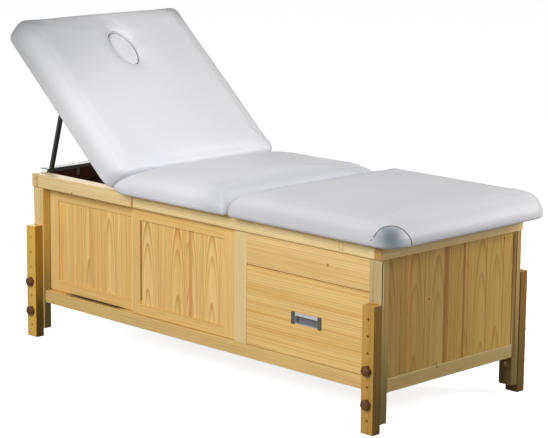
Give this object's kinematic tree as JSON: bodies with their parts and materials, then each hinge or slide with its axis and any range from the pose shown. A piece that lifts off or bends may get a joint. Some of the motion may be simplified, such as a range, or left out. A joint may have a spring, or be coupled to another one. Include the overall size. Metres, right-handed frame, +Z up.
{
  "type": "treatment table",
  "caption": "Pine treatment table with a padded three-part top, raising backrest, sliding-door cupboard, drawer and height-adjustable legs.",
  "frame": {"origin": "centre of the couch's overall box at floor level, with the backrest raised and the legs at their shortest", "axes": "+X runs from the head end to the foot end, -Y is the front with the doors and the drawer, +Z is up"},
  "size_m": [1.7152, 0.722, 1.0577],
  "materials": {
    "pine": "clear satin lacquer over solid pine",
    "plywood": "unfinished plywood",
    "upholstery": "white coated upholstery cloth over foam, soft satin sheen",
    "black_steel": "dark painted steel",
    "zinc_steel": "zinc-plated steel",
    "knob_plastic": "dark reddish-brown moulded plastic",
    "handle_aluminium": "brushed aluminium",
    "handle_plastic": "grey moulded plastic"
  },
  "bodies": {
    "cabinet": {"back_boards": "pine", "back_bottom_rail": "pine", "back_foot_lower_leg_knob": "knob_plastic", "back_foot_post": "pine", "back_foot_upper_leg_knob": "knob_plastic", "back_head_lower_leg_knob": "knob_plastic", "back_head_post": "pine", "back_head_upper_leg_knob": "knob_plastic", "back_top_rail": "pine", "cabinet_floor": "plywood", "crossbar": "black_steel", "drawer_runner": "pine", "drawer_top_panel": "pine", "foot_bottom_rail": "pine", "foot_cushion": "upholstery", "foot_deck": "plywood", "foot_end_boards": "pine", "foot_top_rail": "pine", "front_bottom_rail": "pine", "front_foot_lower_leg_knob": "knob_plastic", "front_foot_post": "pine", "front_foot_upper_leg_knob": "knob_plastic", "front_head_lower_leg_knob": "knob_plastic", "front_head_post": "pine", "front_head_upper_leg_knob": "knob_plastic", "front_top_rail_foot": "pine", "front_top_rail_head": "pine", "head_bottom_rail": "pine", "head_end_boards": "pine", "head_top_rail": "pine", "hinge_bearer": "pine", "hinge_fixed_leaf": "zinc_steel", "hinge_pin": "zinc_steel", "mullion": "pine", "partition": "plywood", "seat_cushion": "upholstery", "seat_deck": "plywood"},
    "backrest": {"backrest_cushion": "upholstery", "backrest_deck": "plywood", "backrest_hinge_batten": "pine", "hinge_moving_leaf": "zinc_steel", "prop_bracket": "black_steel"},
    "prop": {"prop_frame": "black_steel"},
    "face_plug": {"face_plug": "upholstery"},
    "left_door": {"left_door_frame": "pine", "left_door_panel": "pine"},
    "right_door": {"right_door_frame": "pine", "right_door_panel": "pine"},
    "drawer": {"drawer_front": "pine", "drawer_left_side": "pine", "drawer_right_side": "pine", "drawer_back": "pine", "drawer_bottom": "plywood", "handle_tray": "handle_aluminium", "handle_left_cap": "handle_plastic", "handle_right_cap": "handle_plastic"},
    "front_head_leg": {"front_head_leg": "pine"},
    "back_head_leg": {"back_head_leg": "pine"},
    "front_foot_leg": {"front_foot_leg": "pine"},
    "back_foot_leg": {"back_foot_leg": "pine"}
  },
  "joints": [
    {"name": "backrest_hinge", "type": "hinge", "parent": "cabinet", "child": "backrest", "pos_m": [-0.33841, 0, 0.5525], "axis": [0, 1, 0], "range_deg": [-41.5, 0]},
    {"name": "prop_pivot", "type": "hinge", "parent": "backrest", "child": "prop", "pos_m": [-0.66602, 0, 0.87038], "axis": [0, 1, 0], "range_deg": [-64.7, 0]},
    {"name": "face_plug_lift", "type": "slide", "parent": "backrest", "child": "face_plug", "axis": [0.6626, 0, 0.749], "range_m": [0, 0.1]},
    {"name": "left_door_slide", "type": "slide", "parent": "cabinet", "child": "left_door", "axis": [1, 0, 0], "range_m": [0, 0.466]},
    {"name": "right_door_slide", "type": "slide", "parent": "cabinet", "child": "right_door", "axis": [-1, 0, 0], "range_m": [0, 0.437]},
    {"name": "drawer_slide", "type": "slide", "parent": "cabinet", "child": "drawer", "axis": [0, -1, 0], "range_m": [0, 0.36]},
    {"name": "front_head_leg_extension", "type": "slide", "parent": "cabinet", "child": "front_head_leg", "axis": [0, 0, -1], "range_m": [0, 0.15]},
    {"name": "back_head_leg_extension", "type": "slide", "parent": "cabinet", "child": "back_head_leg", "axis": [0, 0, -1], "range_m": [0, 0.15]},
    {"name": "front_foot_leg_extension", "type": "slide", "parent": "cabinet", "child": "front_foot_leg", "axis": [0, 0, -1], "range_m": [0, 0.15]},
    {"name": "back_foot_leg_extension", "type": "slide", "parent": "cabinet", "child": "back_foot_leg", "axis": [0, 0, -1], "range_m": [0, 0.15]}
  ],
  "couplings": [
    {"joint": "prop_pivot", "follows": "backrest_hinge", "ratio": 1.559}
  ]
}
